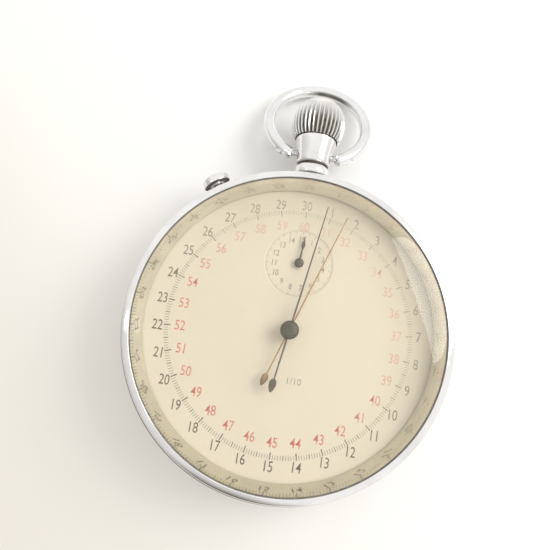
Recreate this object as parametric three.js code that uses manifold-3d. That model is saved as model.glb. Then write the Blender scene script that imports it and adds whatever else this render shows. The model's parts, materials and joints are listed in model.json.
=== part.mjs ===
// Split-seconds mechanical stopwatch, lying on its flat back.
// Frame: origin in the middle of the flat back face, +Z towards the viewer of the dial,
// +Y towards 12 o'clock and the crown, +X towards 3 o'clock. All lengths are millimetres.
import * as THREE from 'three';
import { mergeVertices } from 'three/addons/utils/BufferGeometryUtils.js';
import Module from 'manifold-3d';

const wasm = await Module();
wasm.setup();

// ---------------------------------------------------------------- driving dimensions
const CASE_R = 27.0;            // widest radius of the middle case
const CASE_WIDEST_Z = 8.47;     // height of that widest line
const CASE_INNER_R = 23.0;      // bore of the middle case
const CASE_BOTTOM_Z = 2.3;
const CASE_TOP_Z = 10.6;
const STEM_Z = 6.9;             // height of the winding stem and of the side button
const CLEAR = 0.05;             // gap between pieces that touch or run in each other

const DIAL_TOP_Z = 10.5;
const DIAL_THICK = 0.4;
const DIAL_R = 23.4;
const REGISTER_Y = 10.96;       // centre of the minute register
const REGISTER_R = 5.6;

const BEZEL_FOOT_R = 22.96;      // where the bezel's polished inner slope starts above the dial
const BEZEL_LIP_R = 24.4;
const BEZEL_TOP_Z = 14.0;
const CRYSTAL_TOP_Z = 15.9;

const PENDANT_BORE_R = 2.0;
const CROWN_BASE_Y = 34.1;
const CROWN_TOP_Y = 41.8;
const CROWN_R = 4.7;
const CROWN_FLUTES = 36;
const CROWN_TRAVEL = 1.2;

const BUTTON_TURN = THREE.MathUtils.degToRad(34.2); // left of 12 o'clock
const BUTTON_R = 2.35;
const BUTTON_UNDER = 28.15;     // distance of the cap's underside from the centre
const BUTTON_TOP = 29.55;

const BOW_PIVOT_Y = 31.3;
const BOW_RING_R = 9.0;         // to the middle of the wire
const BOW_WIRE_R = 1.08;
const BOW_END_X = 4.6;
const BOW_REACH = Math.sqrt(BOW_RING_R ** 2 - BOW_END_X ** 2) + BOW_RING_R;
const BOW_DROOP = Math.asin((STEM_Z - BOW_WIRE_R - CLEAR) / BOW_REACH);   // far end near the table

const PLATE_R = 22.6;
const PLATE_LOW_Z = 7.6;
const PLATE_TOP_Z = 9.6;
const BRIDGE_LOW_Z = 2.9;
const BRIDGE_TOP_Z = 3.8;
const BRIDGE_R = 20.2;

// Going train: one module, so centre distances follow from the tooth counts.
const MODULE = 0.25;
const GREAT_TEETH = 54;
const SECOND_TEETH = 40;
const SECOND_LEAVES = 8;
const THIRD_TEETH = 34;
const THIRD_LEAVES = 7;
const FOURTH_TEETH = 30;
const FOURTH_LEAVES = 7;
const ESCAPE_LEAVES = 6;
const ESCAPE_TEETH = 15;

// Winding train.
const WINDING_MODULE = 0.32;
const CROWN_WHEEL_TEETH = 20;
const RATCHET_TEETH = 37;
const WINDING_PINION_TEETH = 10;
const WINDING_PINION_MODULE = 0.31; // a little small, so its teeth skim over the crown wheel

// ---------------------------------------------------------------- small helpers
const deg = THREE.MathUtils.degToRad;

const at = (x, y) => new THREE.Vector2(x, y);

function step(from, distance, angle) {
  return at(from.x + distance * Math.cos(angle), from.y + distance * Math.sin(angle));
}

function angleTo(from, to) {
  return Math.atan2(to.y - from.y, to.x - from.x);
}

function signedVolume(positions, triangles) {
  const corner = [new THREE.Vector3(), new THREE.Vector3(), new THREE.Vector3()];
  let total = 0;
  for (let i = 0; i < triangles.length; i += 3) {
    corner.forEach((point, k) => point.fromArray(positions, 3 * triangles[i + k]));
    total += corner[0].dot(corner[1].clone().cross(corner[2])) / 6;
  }
  return total;
}

// A three.js geometry as a manifold solid with its faces pointing out.
function solid(geometry) {
  let bare = geometry.clone();
  bare.deleteAttribute('normal');
  bare.deleteAttribute('uv');
  bare = mergeVertices(bare, 1e-5);
  const vertProperties = Float32Array.from(bare.attributes.position.array);
  const kept = [];
  const index = bare.index.array;
  for (let i = 0; i < index.length; i += 3) {
    const [a, b, c] = [index[i], index[i + 1], index[i + 2]];
    if (a !== b && b !== c && c !== a) kept.push(a, b, c);
  }
  const triVerts = Uint32Array.from(kept);
  if (signedVolume(vertProperties, triVerts) < 0) {
    for (let i = 0; i < triVerts.length; i += 3) {
      [triVerts[i], triVerts[i + 1]] = [triVerts[i + 1], triVerts[i]];
    }
  }
  return new wasm.Manifold(new wasm.Mesh({ numProp: 3, vertProperties, triVerts }));
}

const join = (first, ...others) => others.reduce((sum, piece) => sum.add(piece), first);

const cut = (first, ...others) => others.reduce((rest, piece) => rest.subtract(piece), first);

function geometryOf(manifold) {
  const mesh = manifold.getMesh();
  const geometry = new THREE.BufferGeometry();
  geometry.setAttribute('position', new THREE.BufferAttribute(mesh.vertProperties, 3));
  geometry.setIndex(new THREE.BufferAttribute(mesh.triVerts, 1));
  geometry.computeVertexNormals();
  return geometry;
}

// A body turned about +Z from [radius, height] points.
function turned(profile, segments) {
  const points = profile.map(([radius, height]) => at(radius, height));
  const geometry = new THREE.LatheGeometry(points, segments);
  geometry.rotateX(Math.PI / 2);
  return solid(geometry);
}

// The same for a ring: the profile closes on itself.
const turnedRing = (profile, segments) => turned([...profile, profile[0]], segments);

function disc(centre, radius, low, high, segments = 12) {
  const geometry = new THREE.CylinderGeometry(radius, radius, high - low, segments);
  geometry.rotateX(Math.PI / 2);
  geometry.translate(centre.x, centre.y, (low + high) / 2);
  return solid(geometry);
}

function block(x, y, z, width, depth, height) {
  const geometry = new THREE.BoxGeometry(width, depth, height);
  geometry.translate(x, y, z);
  return solid(geometry);
}

function slab(shape, low, high, curveSegments = 6) {
  const geometry = new THREE.ExtrudeGeometry(shape, {
    depth: high - low, bevelEnabled: false, curveSegments,
  });
  geometry.translate(0, 0, low);
  return solid(geometry);
}

// A bar with round ends between two points.
function bar(from, to, width, low, high) {
  const angle = angleTo(from, to);
  const shape = new THREE.Shape();
  shape.absarc(from.x, from.y, width / 2, angle + Math.PI / 2, angle + 1.5 * Math.PI, false);
  shape.absarc(to.x, to.y, width / 2, angle - Math.PI / 2, angle + Math.PI / 2, false);
  return slab(shape, low, high, 2);
}

// A bent lever: bars along a list of points.
function lever(points, width, low, high) {
  const bars = points.slice(1).map((point, i) => bar(points[i], point, width, low, high));
  return join(...bars);
}

// Pointed teeth round a pitch circle; a tooth stands at the given angle.
function toothedShape(teeth, module, toothAngle) {
  const pitchR = (teeth * module) / 2;
  const tipR = pitchR + 0.75 * module;
  const rootR = pitchR - 1.05 * module;
  const shape = new THREE.Shape();
  for (let i = 0; i < 2 * teeth; i += 1) {
    const radius = i % 2 === 0 ? tipR : rootR;
    const point = step(at(0, 0), radius, toothAngle + (i * Math.PI) / teeth);
    if (i === 0) shape.moveTo(point.x, point.y);
    else shape.lineTo(point.x, point.y);
  }
  shape.closePath();
  return shape;
}

const toothed = (centre, teeth, module, toothAngle, low, high) =>
  slab(toothedShape(teeth, module, toothAngle), low, high).translate([centre.x, centre.y, 0]);

// Angle of a tooth that leaves a tooth space facing the given direction.
const spaceTowards = (direction, teeth) => direction + Math.PI / teeth;

// A stepped round arbor: [radius, height] pairs from the low end to the high end.
function arbor(centre, steps, segments = 10) {
  const profile = [[0, steps[0][1]]];
  steps.forEach(([radius, low], i) => {
    if (i === steps.length - 1) return;
    profile.push([radius, low], [radius, steps[i + 1][1]]);
  });
  profile.push([0, steps[steps.length - 1][1]]);
  return turned(profile, segments).translate([centre.x, centre.y, 0]);
}

// A heart-shaped reset cam: the radius grows evenly on both sides of the dip.
function heart(centre, smallR, largeR, low, high) {
  const shape = new THREE.Shape();
  const count = 16;
  for (let i = 0; i < count; i += 1) {
    const turn = (i / count) * 2;
    const share = turn < 1 ? turn : 2 - turn;
    const point = step(at(0, 0), smallR + (largeR - smallR) * share, (i / count) * 2 * Math.PI);
    if (i === 0) shape.moveTo(point.x, point.y);
    else shape.lineTo(point.x, point.y);
  }
  shape.closePath();
  return slab(shape, low, high).translate([centre.x, centre.y, 0]);
}

// A flat spiral strip, as a mainspring or a hairspring.
function spiral(centre, innerR, outerR, turns, thickness, low, high, stepsPerTurn = 14) {
  const shape = new THREE.Shape();
  const count = turns * stepsPerTurn;
  const side = (i, offset) => step(
    at(0, 0),
    innerR + ((outerR - innerR) * i) / count + offset,
    (2 * Math.PI * i) / stepsPerTurn,
  );
  const start = side(0, thickness / 2);
  shape.moveTo(start.x, start.y);
  for (let i = 1; i <= count; i += 1) {
    const point = side(i, thickness / 2);
    shape.lineTo(point.x, point.y);
  }
  for (let i = count; i >= 0; i -= 1) {
    const point = side(i, -thickness / 2);
    shape.lineTo(point.x, point.y);
  }
  shape.closePath();
  return slab(shape, low, high).translate([centre.x, centre.y, 0]);
}

// Lays a body turned about +Z along a line in the stem's plane: +Z becomes outward.
// The angle is measured to the left of 12 o'clock.
function layOutward(body, leftOfTwelve) {
  return body.rotate([-90, 0, 0]).rotate([0, 0, THREE.MathUtils.radToDeg(leftOfTwelve)])
    .translate([0, 0, STEM_Z]);
}

// ---------------------------------------------------------------- colours
const finish = {
  chrome: { color: 0xd9dadb, roughness: 0.12, metalness: 1 },
  acrylic: { color: 0xe9e2c4, roughness: 0.05, metalness: 0, transparent: true, opacity: 0.35 },
  dialPaint: { color: 0xf1e7cb, roughness: 0.6, metalness: 0 },
  darkSteel: { color: 0x45423a, roughness: 0.3, metalness: 0.9 },
  gilt: { color: 0xc79a4b, roughness: 0.25, metalness: 1 },
  plate: { color: 0xc9c7c0, roughness: 0.35, metalness: 1 },
  brass: { color: 0xc9a250, roughness: 0.3, metalness: 1 },
  steel: { color: 0xa9adb2, roughness: 0.25, metalness: 1 },
  blueSteel: { color: 0x2d3b66, roughness: 0.3, metalness: 0.9 },
};

const stopwatch = new THREE.Group();
stopwatch.name = 'split_seconds_stopwatch';

function add(name, body, look) {
  const mesh = new THREE.Mesh(geometryOf(body), new THREE.MeshStandardMaterial(finish[look]));
  mesh.name = name;
  stopwatch.add(mesh);
}

// ---------------------------------------------------------------- where the arbors stand
const CENTRE = at(0, 0);
const REGISTER = at(0, REGISTER_Y);
const BARREL = at(-8.2, 11.5);
const CROWN_WHEEL = at(0, 15.5);
const SECOND = step(BARREL, ((GREAT_TEETH + SECOND_LEAVES) * MODULE) / 2, deg(-125.4));
const THIRD = step(SECOND, ((SECOND_TEETH + THIRD_LEAVES) * MODULE) / 2, deg(-59.5));
const FOURTH = step(THIRD, ((THIRD_TEETH + FOURTH_LEAVES) * MODULE) / 2, deg(-53.1));
const ESCAPE = step(FOURTH, ((FOURTH_TEETH + ESCAPE_LEAVES) * MODULE) / 2, deg(-60.8));
const BALANCE = at(4.6, -12.6);
const ESCAPE_TO_BALANCE = angleTo(ESCAPE, BALANCE);
const PALLET = step(ESCAPE, 3.6, ESCAPE_TO_BALANCE);
const TRANSFER = at(0, 6.0);
const COLUMN_WHEEL = at(7.5, 12.5);
const HAMMER = at(7.0, -4.0);
const OPERATING_PIVOT = at(10.5, 16.5);
const SPLIT_LEVER_PIVOT = at(-18.2, 6.6);
const CLAMP_X = 4.6;
const CLAMP_Y = -4.4;
const CLICK = at(-1.7, 5.4);
const BARREL_BRIDGE_FEET = [at(-17.6, 9.2), at(-3.0, 19.2), at(4.4, 17.8)];
const TRAIN_BRIDGE_FEET = [at(-16.4, -3.2), at(-11.2, -10.5), at(14.5, 4.5), at(12.5, -5.5)];
const COCK_FOOT = at(14.0, -12.8);

// ---------------------------------------------------------------- case
const CASE_SEGMENTS = 40;

function caseBand() {
  const ring = turnedRing([
    [CASE_INNER_R, CASE_BOTTOM_Z], [25.2, CASE_BOTTOM_Z], [26.3, 4.0], [26.85, 6.2],
    [CASE_R, CASE_WIDEST_Z], [26.75, 9.9], [26.35, CASE_TOP_Z], [23.5, CASE_TOP_Z],
    [23.5, 10.0], [CASE_INNER_R, 10.0],
  ], CASE_SEGMENTS);
  const pendantHole = layOutward(disc(CENTRE, 2.65, 20, 30, 24), 0);
  const buttonHole = layOutward(disc(CENTRE, 1.55, 20, 30, 16), BUTTON_TURN);
  return cut(ring, pendantHole, buttonHole);
}

// Deep bezel: a steep polished slope rises from the dial to the groove that holds the crystal.
function bezel() {
  return turnedRing([
    [BEZEL_FOOT_R, 10.65], [26.25, 10.65], [26.05, 11.8], [25.75, 13.0], [25.6, 13.55],
    [25.4, 13.78], [24.6, BEZEL_TOP_Z], [BEZEL_LIP_R, 13.95], [BEZEL_LIP_R, 13.8],
    [24.65, 13.8], [24.65, 13.5], [24.18, 13.5],
  ], CASE_SEGMENTS);
}

// Low acrylic dome whose thin rim sits in the bezel's groove.
function crystal() {
  return turned([
    [0, 14.85], [12, 14.5], [24.0, 13.56], [24.6, 13.55], [24.6, 13.75],
    [BEZEL_LIP_R - CLEAR, 13.77], [BEZEL_LIP_R - CLEAR, 14.0], [19, 14.78], [12, 15.43],
    [0, CRYSTAL_TOP_Z],
  ], CASE_SEGMENTS);
}

function backCover() {
  return turned([
    [0, 0], [19, 0], [22.5, 0.45], [24.6, 1.3], [25.25, 2.25], [22.95, 2.25], [22.95, 3.4],
    [22.4, 3.4], [22.4, 1.5], [19, 0.75], [0, 0.75],
  ], CASE_SEGMENTS);
}

// Stem neck on the case: foot in the case wall, bead, groove and a flared neck.
function pendant() {
  const neck = turnedRing([
    [PENDANT_BORE_R, 23.2], [2.6, 23.2], [2.6, 27.1], [2.95, 27.1], [3.15, 27.5], [3.15, 28.5],
    [2.9, 28.8], [2.65, 29.0], [2.65, 29.3], [2.9, 29.7], [3.1, 31.3], [3.35, 32.8], [3.5, 34.2],
    [3.2, 34.5], [PENDANT_BORE_R, 34.5],
  ], 20);
  const body = layOutward(neck, 0);
  return [-1, 1].reduce((rest, side) => {
    const hole = disc(CENTRE, 0.55, 0, 4, 10).rotate([0, 90 * side, 0])
      .translate([side * 1.5, BOW_PIVOT_Y, STEM_Z]);
    return cut(rest, hole);
  }, body);
}

// Tube between stem and pendant that carries the push of the crown to the start lever.
function pushSleeve() {
  return layOutward(turnedRing([[1.05, 22.35], [1.9, 22.35], [1.9, 35.6], [1.05, 35.6]], 20), 0);
}

// Onion crown: a turned form whose radius waves in and out round the axis.
function crown() {
  const profile = [
    [0, 40.0], [1.0, 40.0], [1.0, 36.0], [3.7, 36.0], [3.7, CROWN_BASE_Y], [4.0, CROWN_BASE_Y],
    [CROWN_R, 36.9], [4.55, 38.7], [3.7, 40.5], [1.2, CROWN_TOP_Y], [0, CROWN_TOP_Y],
  ];
  const fluteFrom = 5;
  const fluteTo = 8;
  const fluteDepth = 0.3;
  const segments = CROWN_FLUTES * 2;
  const points = profile.map(([radius, height]) => at(radius, height));
  const geometry = new THREE.LatheGeometry(points, segments);
  const position = geometry.attributes.position;
  for (let i = 0; i < position.count; i += 1) {
    const onProfile = i % profile.length;
    const onTurn = Math.floor(i / profile.length) % segments;
    const inFlute = onProfile >= fluteFrom && onProfile <= fluteTo && onTurn % 2 === 1;
    if (inFlute) {
      const radius = profile[onProfile][0];
      const scale = (radius - fluteDepth) / radius;
      position.setX(i, position.getX(i) * scale);
      position.setZ(i, position.getZ(i) * scale);
    }
  }
  geometry.rotateX(Math.PI / 2);
  return layOutward(solid(geometry), 0);
}

// Round under the crown, square where it slides through the winding pinion.
function windingStem() {
  const rod = layOutward(disc(CENTRE, 0.95, 20.8, 39.9, 14), 0);
  const square = block(0, 18.75, STEM_Z, 1.2, 4.3, 1.2);
  return join(rod, square);
}

// Round bow of thick wire, open where its two ends are pinned to the pendant.
function bow() {
  const centreY = BOW_REACH - BOW_RING_R;
  const endAngle = Math.atan2(-centreY, BOW_END_X);
  const overrun = 0.09;
  const steps = 30;
  class RingPath extends THREE.Curve {
    getPoint(t, target = new THREE.Vector3()) {
      const sweep = 2 * Math.PI - 2 * (Math.PI / 2 + endAngle) + 2 * overrun;
      const angle = endAngle - overrun + t * sweep;
      return target.set(BOW_RING_R * Math.cos(angle), centreY + BOW_RING_R * Math.sin(angle), 0);
    }
  }
  const section = new THREE.Shape();
  section.absarc(0, 0, BOW_WIRE_R, 0, 2 * Math.PI, false);
  const geometry = new THREE.ExtrudeGeometry(section, {
    extrudePath: new RingPath(), steps, curveSegments: 4,
  });
  const wire = solid(geometry);
  const pinHole = disc(CENTRE, 0.55, -8, 8, 10).rotate([0, 90, 0]);
  return cut(wire, pinHole).rotate([-THREE.MathUtils.radToDeg(BOW_DROOP), 0, 0])
    .translate([0, BOW_PIVOT_Y, STEM_Z]);
}

function bowScrew(side) {
  const pin = arbor(CENTRE, [[0.5, 2.1], [0.5, 5.5]], 10);
  return pin.rotate([0, 90 * side, 0]).translate([0, BOW_PIVOT_Y, STEM_Z]);
}

function splitButton() {
  return layOutward(turned([
    [0, 22.35], [0.6, 22.35], [0.6, 23.75], [0.9, 23.75], [0.9, BUTTON_UNDER],
    [BUTTON_R - 0.15, BUTTON_UNDER],
    [BUTTON_R, BUTTON_UNDER + 0.15], [BUTTON_R, BUTTON_TOP - 0.35],
    [BUTTON_R - 0.35, BUTTON_TOP], [0, BUTTON_TOP],
  ], 20), BUTTON_TURN);
}

function buttonTube() {
  return layOutward(turnedRing([
    [0.96, 23.25], [1.5, 23.25], [1.5, 27.05], [0.96, 27.05],
  ], 16), BUTTON_TURN);
}

add('case_band', caseBand(), 'chrome');
add('bezel', bezel(), 'chrome');
add('crystal', crystal(), 'acrylic');
add('back_cover', backCover(), 'chrome');
add('pendant', pendant(), 'chrome');
add('push_sleeve', pushSleeve(), 'steel');
add('crown', crown(), 'chrome');
add('winding_stem', windingStem(), 'steel');
add('bow', bow(), 'chrome');
add('bow_screw_left', bowScrew(-1), 'steel');
add('bow_screw_right', bowScrew(1), 'steel');
add('split_button', splitButton(), 'chrome');
add('button_tube', buttonTube(), 'chrome');

// ---------------------------------------------------------------- dial and hands
const DIAL_FEET = [at(-17, -10), at(17, -9)];

function dial() {
  const low = DIAL_TOP_Z - DIAL_THICK;
  const feet = DIAL_FEET.map((foot) => disc(foot, 0.5, 8.8, low + 0.1, 8));
  const face = join(disc(CENTRE, DIAL_R, low, DIAL_TOP_Z, CASE_SEGMENTS), ...feet);
  const centreHole = disc(CENTRE, 0.75, 9, 11, 12);
  const registerHole = disc(REGISTER, 0.45, 9, 11, 10);
  const registerSink = disc(REGISTER, REGISTER_R, DIAL_TOP_Z - 0.08, DIAL_TOP_Z + 1, 28);
  return cut(face, centreHole, registerHole, registerSink);
}

// A thin pointed hand with a round hub and a leaf-shaped counterweight.
function longHand({ hubR, boreR, low, high, bladeLow, bladeHigh, tip, tail, leaf, clockwise }) {
  const hub = turnedRing([[boreR, low], [hubR, low], [hubR, high - 0.15], [hubR - 0.2, high],
    [boreR, high]], 16);
  const blade = new THREE.Shape();
  blade.moveTo(-0.2, 0);
  blade.lineTo(-0.07, tip);
  blade.lineTo(0.07, tip);
  blade.lineTo(0.2, 0);
  blade.lineTo(0.16, -(tail - leaf.length));
  blade.lineTo(leaf.width / 2, -(tail - 0.62 * leaf.length));
  blade.lineTo(leaf.width / 2, -(tail - 0.35 * leaf.length));
  blade.lineTo(0.15, -tail);
  blade.lineTo(-0.15, -tail);
  blade.lineTo(-leaf.width / 2, -(tail - 0.35 * leaf.length));
  blade.lineTo(-leaf.width / 2, -(tail - 0.62 * leaf.length));
  blade.lineTo(-0.16, -(tail - leaf.length));
  blade.closePath();
  const strip = slab(blade, bladeLow, bladeHigh).rotate([0, 0, -clockwise]);
  return join(cut(strip, disc(CENTRE, (hubR + boreR) / 2, 0, 20, 12)), hub);
}

function sweepHand() {
  return longHand({
    hubR: 1.3, boreR: 0.65, low: 11.6, high: 12.3, bladeLow: 11.85, bladeHigh: 12.0,
    tip: 20.6, tail: 9.4, leaf: { length: 1.95, width: 1.05 }, clockwise: 19.0,
  });
}

// Its hub is closed on top, over the end of its arbor.
function splitHand() {
  const hand = longHand({
    hubR: 1.45, boreR: 0.34, low: 12.4, high: 13.5, bladeLow: 12.7, bladeHigh: 12.85,
    tip: 20.7, tail: 9.8, leaf: { length: 2.1, width: 1.1 }, clockwise: 9.0,
  });
  return join(hand, disc(CENTRE, 0.5, 13.35, 13.5, 12));
}

function minuteHand() {
  const hub = turnedRing([[0.28, 10.7], [0.75, 10.7], [0.75, 11.2], [0.6, 11.35], [0.28, 11.35]],
    12);
  const blade = new THREE.Shape();
  blade.moveTo(-0.18, 0);
  blade.lineTo(-0.1, 2.6);
  blade.lineTo(-0.32, 3.2);
  blade.lineTo(-0.05, 4.5);
  blade.lineTo(0.05, 4.5);
  blade.lineTo(0.32, 3.2);
  blade.lineTo(0.1, 2.6);
  blade.lineTo(0.18, 0);
  blade.closePath();
  const strip = slab(blade, 10.9, 11.05).rotate([0, 0, -5]);
  return join(cut(strip, disc(CENTRE, 0.5, 0, 20, 12)), hub).translate([0, REGISTER_Y, 0]);
}

add('dial', dial(), 'dialPaint');
add('sweep_hand', sweepHand(), 'gilt');
add('split_hand', splitHand(), 'darkSteel');
add('minute_hand', minuteHand(), 'darkSteel');

// ---------------------------------------------------------------- plate, bridges, screws
const PIVOT_R = 0.25;
const PIVOT_HOLE_R = 0.3;
const SCREW_HOLE_R = 0.5;
const FOOT_R = 0.9;

const holeAt = (centre, radius, low, high) => disc(centre, radius, low, high, 6);

function mainPlate() {
  const feet = [...BARREL_BRIDGE_FEET, ...TRAIN_BRIDGE_FEET, COCK_FOOT];
  const pivots = [BARREL, SECOND, THIRD, FOURTH, ESCAPE, PALLET, BALANCE];
  const stemSlot = block(0, 20.0, PLATE_LOW_Z, 4.2, 7.6, 2 * (STEM_Z + 2.0 - PLATE_LOW_Z));
  return cut(
    disc(CENTRE, PLATE_R, PLATE_LOW_Z, PLATE_TOP_Z, 40),
    holeAt(CENTRE, 0.7, 0, 20),
    holeAt(REGISTER, 0.36, 0, 20),
    ...feet.map((foot) => holeAt(foot, SCREW_HOLE_R, 0, 20)),
    ...DIAL_FEET.map((foot) => holeAt(foot, 0.6, 0, 20)),
    ...pivots.map((pivot) => holeAt(pivot, PIVOT_HOLE_R, 0, 8.5)),
    stemSlot,
  );
}

function polygon(points) {
  const shape = new THREE.Shape();
  shape.moveTo(points[0].x, points[0].y);
  points.slice(1).forEach((point) => shape.lineTo(point.x, point.y));
  shape.closePath();
  return shape;
}

// A bridge: a plate cut to the movement's round edge, on round feet under the main plate.
function bridge(outline, feet, pivots) {
  const sheet = slab(polygon(outline), BRIDGE_LOW_Z, BRIDGE_TOP_Z)
    .intersect(disc(CENTRE, BRIDGE_R, 0, 20, 40));
  const pillars = feet.map((foot) => disc(foot, FOOT_R, BRIDGE_LOW_Z, PLATE_LOW_Z - CLEAR, 10));
  return cut(
    join(sheet, ...pillars),
    ...feet.map((foot) => holeAt(foot, SCREW_HOLE_R, 0, 20)),
    ...pivots.map(([pivot, radius]) => holeAt(pivot, radius, 0, 20)),
  );
}

function barrelBridge() {
  return bridge(
    [at(-24, 2.6), at(-10, 2.6), at(-3.6, 7.9), at(-2.4, 12.8), at(5.6, 12.8), at(5.6, 24),
      at(-24, 24)],
    BARREL_BRIDGE_FEET,
    [[BARREL, 0.85], [CROWN_WHEEL, 0.55], [SECOND, PIVOT_HOLE_R], [SPLIT_LEVER_PIVOT, 0.4]],
  );
}

function trainBridge() {
  return bridge(
    [at(-19, 2.3), at(-9.9, 2.3), at(-3.3, 7.6), at(-2.1, 12.5), at(5.9, 12.5), at(5.9, 24),
      at(24, 24), at(24, -7.0), at(3.2, -7.0), at(0.9, -8.6), at(-0.2, -11.4), at(-13, -13.2),
      at(-19, -6)],
    TRAIN_BRIDGE_FEET,
    [[CENTRE, 0.7], [REGISTER, 0.36], [THIRD, PIVOT_HOLE_R], [FOURTH, PIVOT_HOLE_R],
      [ESCAPE, PIVOT_HOLE_R], [PALLET, PIVOT_HOLE_R], [TRANSFER, 0.3], [COLUMN_WHEEL, 0.4],
      [HAMMER, 0.4], [OPERATING_PIVOT, 0.4], [at(CLAMP_X, CLAMP_Y), 0.4],
      [at(-CLAMP_X, CLAMP_Y), 0.4]],
  );
}

function balanceCock() {
  const arm = bar(COCK_FOOT, BALANCE, 3.0, BRIDGE_LOW_Z, BRIDGE_TOP_Z);
  const foot = disc(COCK_FOOT, 1.9, BRIDGE_LOW_Z, PLATE_LOW_Z - CLEAR, 14);
  return cut(join(arm, foot), holeAt(COCK_FOOT, SCREW_HOLE_R, 0, 20),
    holeAt(BALANCE, PIVOT_HOLE_R, 0, 20));
}

// Slotted cheese-head screw, its head on the back of a bridge.
function bridgeScrew(foot) {
  const headLow = 2.45;
  const headHigh = BRIDGE_LOW_Z - 0.02;
  const body = arbor(foot, [[0.85, headLow], [0.4, headHigh], [0.4, 9.3]], 8);
  return cut(body, block(foot.x, foot.y, headLow, 2, 0.22, 0.3));
}

add('main_plate', mainPlate(), 'plate');
add('barrel_bridge', barrelBridge(), 'plate');
add('train_bridge', trainBridge(), 'plate');
add('balance_cock', balanceCock(), 'plate');
BARREL_BRIDGE_FEET.forEach((foot, i) => {
  add(`barrel_bridge_screw_${i + 1}`, bridgeScrew(foot), 'blueSteel');
});
TRAIN_BRIDGE_FEET.forEach((foot, i) => {
  add(`train_bridge_screw_${i + 1}`, bridgeScrew(foot), 'blueSteel');
});
add('cock_screw', bridgeScrew(COCK_FOOT), 'blueSteel');

// ---------------------------------------------------------------- winding work and barrel
const RATCHET_LOW_Z = 4.6;
const RATCHET_HIGH_Z = 5.1;
const CROWN_WHEEL_TO_BARREL = angleTo(CROWN_WHEEL, BARREL);

function windingPinion() {
  const teeth = slab(toothedShape(WINDING_PINION_TEETH, WINDING_PINION_MODULE, 0), 17.2, 19.4);
  return cut(layOutward(teeth, 0), block(0, 18.3, STEM_Z, 1.3, 4, 1.3));
}

function crownWheel() {
  const wheel = toothed(CROWN_WHEEL, CROWN_WHEEL_TEETH, WINDING_MODULE, CROWN_WHEEL_TO_BARREL,
    RATCHET_LOW_Z, RATCHET_HIGH_Z);
  return cut(wheel, holeAt(CROWN_WHEEL, 0.68, 0, 20));
}

// Shouldered post, riveted in the barrel bridge, on which the crown wheel turns.
function crownWheelPost() {
  return arbor(CROWN_WHEEL, [[0.45, 2.95], [0.9, BRIDGE_TOP_Z + 0.03], [0.9, 4.5], [0.55, 4.51],
    [0.55, 5.15]], 12);
}

function ratchetWheel() {
  const direction = spaceTowards(CROWN_WHEEL_TO_BARREL + Math.PI, RATCHET_TEETH);
  const wheel = toothed(BARREL, RATCHET_TEETH, WINDING_MODULE, direction, RATCHET_LOW_Z,
    RATCHET_HIGH_Z);
  return cut(wheel, block(BARREL.x, BARREL.y, 5, 1.3, 1.3, 4));
}

// Arbor with a square for the ratchet wheel and a core with a hook for the mainspring.
function barrelArbor() {
  const round = arbor(BARREL, [[0.7, 2.95], [0.7, 4.5]], 12);
  const square = block(BARREL.x, BARREL.y, 4.75, 1.2, 1.2, 0.9);
  const core = arbor(BARREL, [[0.55, 5.15], [1.6, 5.75], [PIVOT_R, 7.15], [PIVOT_R, 8.3]], 14);
  return join(round, square, core);
}

function mainspringBarrel() {
  const drum = turnedRing([
    [0.35, 7.35], [6.2, 7.35], [6.2, 5.7], [5.8, 5.7], [5.8, 7.2], [0.35, 7.2],
  ], 24).translate([BARREL.x, BARREL.y, 0]);
  const direction = angleTo(BARREL, SECOND);
  const teeth = cut(toothed(BARREL, GREAT_TEETH, MODULE, direction, 7.0, 7.35),
    disc(BARREL, 6.0, 0, 20, 24));
  return join(drum, teeth);
}

function barrelLid() {
  return turnedRing([[0.6, 5.4], [6.1, 5.4], [6.1, 5.65], [0.6, 5.65]], 20)
    .translate([BARREL.x, BARREL.y, 0]);
}

const mainspring = () => spiral(BARREL, 2.0, 5.6, 4, 0.16, 5.75, 7.1, 12);

function click() {
  const arm = bar(CLICK, at(-2.37, 8.4), 0.7, RATCHET_LOW_Z, RATCHET_HIGH_Z);
  return join(arm, disc(CLICK, 0.35, BRIDGE_TOP_Z + 0.05, 4.7, 8));
}

function clickSpring() {
  const foot = disc(at(3.2, 5.6), 0.6, BRIDGE_TOP_Z + 0.03, 5.0, 10);
  return join(foot, bar(at(3.2, 5.6), at(-1.35, 7.3), 0.2, RATCHET_LOW_Z, 5.0));
}

add('winding_pinion', windingPinion(), 'steel');
add('crown_wheel', crownWheel(), 'steel');
add('crown_wheel_post', crownWheelPost(), 'blueSteel');
add('ratchet_wheel', ratchetWheel(), 'steel');
add('barrel_arbor', barrelArbor(), 'steel');
add('mainspring_barrel', mainspringBarrel(), 'brass');
add('barrel_lid', barrelLid(), 'brass');
add('mainspring', mainspring(), 'steel');
add('click', click(), 'steel');
add('click_spring', clickSpring(), 'steel');

// ---------------------------------------------------------------- going train
const PIVOT_LOW_Z = 3.0;
const PIVOT_HIGH_Z = 8.3;

// A train wheel: toothed rim, pinion and pivots on one arbor.
function trainWheel(centre, wheel, pinion) {
  const spindle = arbor(centre, [[PIVOT_R, PIVOT_LOW_Z], [0.45, 3.9], [PIVOT_R, 7.5],
    [PIVOT_R, PIVOT_HIGH_Z]], 8);
  return join(
    spindle,
    toothed(centre, wheel.teeth, MODULE, wheel.angle, wheel.low, wheel.low + 0.25),
    toothed(centre, pinion.leaves, MODULE, spaceTowards(pinion.angle, pinion.leaves),
      pinion.low, pinion.low + 0.5),
  );
}

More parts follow.
